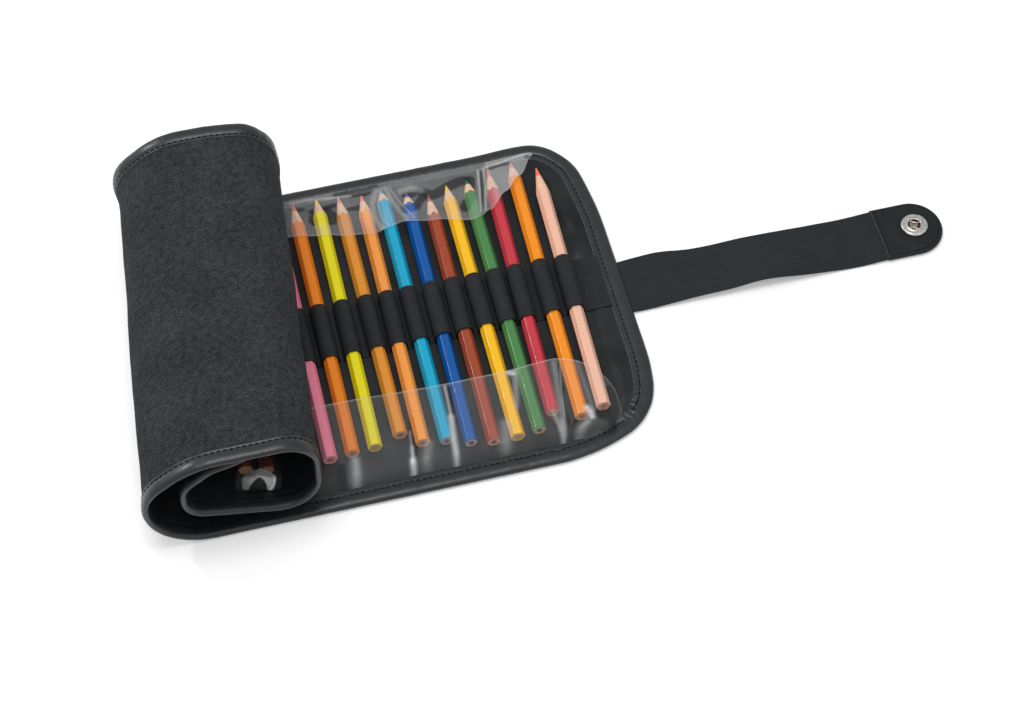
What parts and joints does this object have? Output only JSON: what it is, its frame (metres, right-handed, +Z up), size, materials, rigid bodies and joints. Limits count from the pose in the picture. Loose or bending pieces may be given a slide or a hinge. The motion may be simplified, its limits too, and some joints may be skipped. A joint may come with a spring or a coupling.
{
  "type": "roll-up pencil case",
  "caption": "Padded canvas roll-up pencil case, half unrolled, with coloured pencils held by an elastic band under clear strips and a webbing strap that ends in a press snap.",
  "frame": {"origin": "middle of the footprint, on the table that the case lies on", "axes": "+X along the case from the rolled half towards the strap's tab, +Y towards the pencils' tips, +Z up"},
  "size_m": [0.466, 0.214, 0.069],
  "materials": {
    "canvas": "charcoal twill canvas",
    "lining": "smooth black lining",
    "binding": "glossy black artificial leather",
    "elastic": "ribbed black elastic",
    "clear_film": "clear soft vinyl",
    "strap": "ribbed black webbing",
    "nickel": "antique nickel",
    "spring_brass": "bright spring wire",
    "rolled_pencils": "painted wood",
    "pencil_pink": "pink paint over cedar, coloured lead",
    "pencil_orange": "orange paint over cedar, coloured lead",
    "pencil_yellow": "yellow paint over cedar, coloured lead",
    "pencil_ochre": "ochre paint over cedar, coloured lead",
    "pencil_apricot": "apricot paint over cedar, coloured lead",
    "pencil_teal": "teal paint over cedar, coloured lead",
    "pencil_blue": "blue paint over cedar, coloured lead",
    "pencil_brown": "brown paint over cedar, coloured lead",
    "pencil_gold": "gold paint over cedar, coloured lead",
    "pencil_green": "green paint over cedar, coloured lead",
    "pencil_red": "red paint over cedar, coloured lead",
    "pencil_peach": "peach paint over cedar, coloured lead"
  },
  "bodies": {
    "roll": {"roll_canvas": "canvas", "roll_lining": "lining", "roll_front_binding": "binding", "roll_rear_binding": "binding", "roll_elastic": "elastic", "roll_clear_strips": "clear_film", "rolled_pencils": "rolled_pencils"},
    "panel_1": {"panel_1_canvas": "canvas", "panel_1_lining": "lining", "panel_1_binding": "binding", "panel_1_elastic": "elastic", "panel_1_clear_strips": "clear_film"},
    "panel_2": {"panel_2_canvas": "canvas", "panel_2_lining": "lining", "panel_2_binding": "binding", "panel_2_elastic": "elastic", "panel_2_clear_strips": "clear_film"},
    "panel_3": {"panel_3_canvas": "canvas", "panel_3_lining": "lining", "panel_3_binding": "binding", "panel_3_elastic": "elastic", "panel_3_clear_strips": "clear_film", "snap_stud": "nickel", "stud_eyelet": "nickel"},
    "panel_4": {"panel_4_canvas": "canvas", "panel_4_lining": "lining", "panel_4_binding": "binding", "panel_4_elastic": "elastic", "panel_4_clear_strips": "clear_film"},
    "panel_5": {"panel_5_canvas": "canvas", "panel_5_lining": "lining", "panel_5_binding": "binding", "panel_5_elastic": "elastic", "panel_5_clear_strips": "clear_film"},
    "panel_6": {"panel_6_canvas": "canvas", "panel_6_lining": "lining", "panel_6_binding": "binding", "panel_6_elastic": "elastic", "panel_6_clear_strips": "clear_film"},
    "strap_inner": {"strap_inner": "strap"},
    "strap_outer": {"strap_outer": "strap", "strap_tab": "binding", "snap_socket": "nickel", "socket_spring": "spring_brass", "snap_cap": "nickel"},
    "pencil_00_pink": {"pencil_00_pink": "pencil_pink"},
    "pencil_01_orange": {"pencil_01_orange": "pencil_orange"},
    "pencil_02_yellow": {"pencil_02_yellow": "pencil_yellow"},
    "pencil_03_ochre": {"pencil_03_ochre": "pencil_ochre"},
    "pencil_04_apricot": {"pencil_04_apricot": "pencil_apricot"},
    "pencil_05_teal": {"pencil_05_teal": "pencil_teal"},
    "pencil_06_blue": {"pencil_06_blue": "pencil_blue"},
    "pencil_07_brown": {"pencil_07_brown": "pencil_brown"},
    "pencil_08_gold": {"pencil_08_gold": "pencil_gold"},
    "pencil_09_green": {"pencil_09_green": "pencil_green"},
    "pencil_10_red": {"pencil_10_red": "pencil_red"},
    "pencil_11_orange": {"pencil_11_orange": "pencil_orange"},
    "pencil_12_peach": {"pencil_12_peach": "pencil_peach"}
  },
  "joints": [
    {"name": "roll_up", "type": "hinge", "parent": "roll", "child": "panel_1", "pos_m": [-0.124, 0, 0.004], "axis": [0, -1, 0], "range_deg": [0, 25]},
    {"name": "roll_up_2", "type": "hinge", "parent": "panel_1", "child": "panel_2", "pos_m": [-0.09835, 0, 0.004], "axis": [0, -1, 0], "range_deg": [0, 25]},
    {"name": "roll_up_3", "type": "hinge", "parent": "panel_2", "child": "panel_3", "pos_m": [-0.07385, 0, 0.004], "axis": [0, -1, 0], "range_deg": [0, 25]},
    {"name": "roll_up_4", "type": "hinge", "parent": "panel_3", "child": "panel_4", "pos_m": [-0.04905, 0, 0.004], "axis": [0, -1, 0], "range_deg": [0, 25]},
    {"name": "roll_up_5", "type": "hinge", "parent": "panel_4", "child": "panel_5", "pos_m": [-0.025, 0, 0.004], "axis": [0, -1, 0], "range_deg": [0, 25]},
    {"name": "roll_up_6", "type": "hinge", "parent": "panel_5", "child": "panel_6", "pos_m": [-0.00055, 0, 0.004], "axis": [0, -1, 0], "range_deg": [0, 25]},
    {"name": "strap_lift", "type": "hinge", "parent": "panel_6", "child": "strap_inner", "pos_m": [0.0504, -0.0035, 0.0026], "axis": [0, -1, 0], "range_deg": [0, 40]},
    {"name": "strap_curl", "type": "hinge", "parent": "strap_inner", "child": "strap_outer", "pos_m": [0.145, -0.0035, 0.0033], "axis": [0, -1, 0], "range_deg": [0, 80]},
    {"name": "slide_00_pink", "type": "slide", "parent": "roll", "child": "pencil_00_pink", "axis": [0.02, 0.9998, 0], "range_m": [-0.015, 0.0012]},
    {"name": "slide_01_orange", "type": "slide", "parent": "panel_1", "child": "pencil_01_orange", "axis": [0.018, 0.9998, 0], "range_m": [-0.0159, 0.0003]},
    {"name": "slide_02_yellow", "type": "slide", "parent": "panel_1", "child": "pencil_02_yellow", "axis": [0.024, 0.9997, 0], "range_m": [-0.0167, 0.0003]},
    {"name": "slide_03_ochre", "type": "slide", "parent": "panel_2", "child": "pencil_03_ochre", "axis": [0.012, 0.9999, 0], "range_m": [-0.0212, 0.0011]},
    {"name": "slide_04_apricot", "type": "slide", "parent": "panel_2", "child": "pencil_04_apricot", "axis": [0.024, 0.9997, 0], "range_m": [-0.0134, 0.0038]},
    {"name": "slide_05_teal", "type": "slide", "parent": "panel_3", "child": "pencil_05_teal", "axis": [0.017, 0.9999, 0], "range_m": [-0.0115, 0.0029]},
    {"name": "slide_06_blue", "type": "slide", "parent": "panel_3", "child": "pencil_06_blue", "axis": [0.024, 0.9997, 0], "range_m": [-0.0071, 0.0085]},
    {"name": "slide_07_brown", "type": "slide", "parent": "panel_4", "child": "pencil_07_brown", "axis": [0.024, 0.9997, 0], "range_m": [-0.0046, 0.0123]},
    {"name": "slide_08_gold", "type": "slide", "parent": "panel_4", "child": "pencil_08_gold", "axis": [0.013, 0.9999, 0], "range_m": [-0.0046, 0.0086]},
    {"name": "slide_09_green", "type": "slide", "parent": "panel_5", "child": "pencil_09_green", "axis": [0.013, 0.9999, 0], "range_m": [-0.006, 0.0074]},
    {"name": "slide_10_red", "type": "slide", "parent": "panel_5", "child": "pencil_10_red", "axis": [0.036, 0.9994, 0], "range_m": [-0.0151, 0.0033]},
    {"name": "slide_11_orange", "type": "slide", "parent": "panel_6", "child": "pencil_11_orange", "axis": [0.029, 0.9996, 0], "range_m": [-0.009, 0.0016]},
    {"name": "slide_12_peach", "type": "slide", "parent": "panel_6", "child": "pencil_12_peach", "axis": [0.034, 0.9994, 0], "range_m": [-0.0104, 0.0088]}
  ],
  "couplings": [
    {"joint": "roll_up_2", "follows": "roll_up", "ratio": 1},
    {"joint": "roll_up_3", "follows": "roll_up", "ratio": 1},
    {"joint": "roll_up_4", "follows": "roll_up", "ratio": 1},
    {"joint": "roll_up_5", "follows": "roll_up", "ratio": 1},
    {"joint": "roll_up_6", "follows": "roll_up", "ratio": 1},
    {"joint": "strap_curl", "follows": "strap_lift", "ratio": 2}
  ]
}
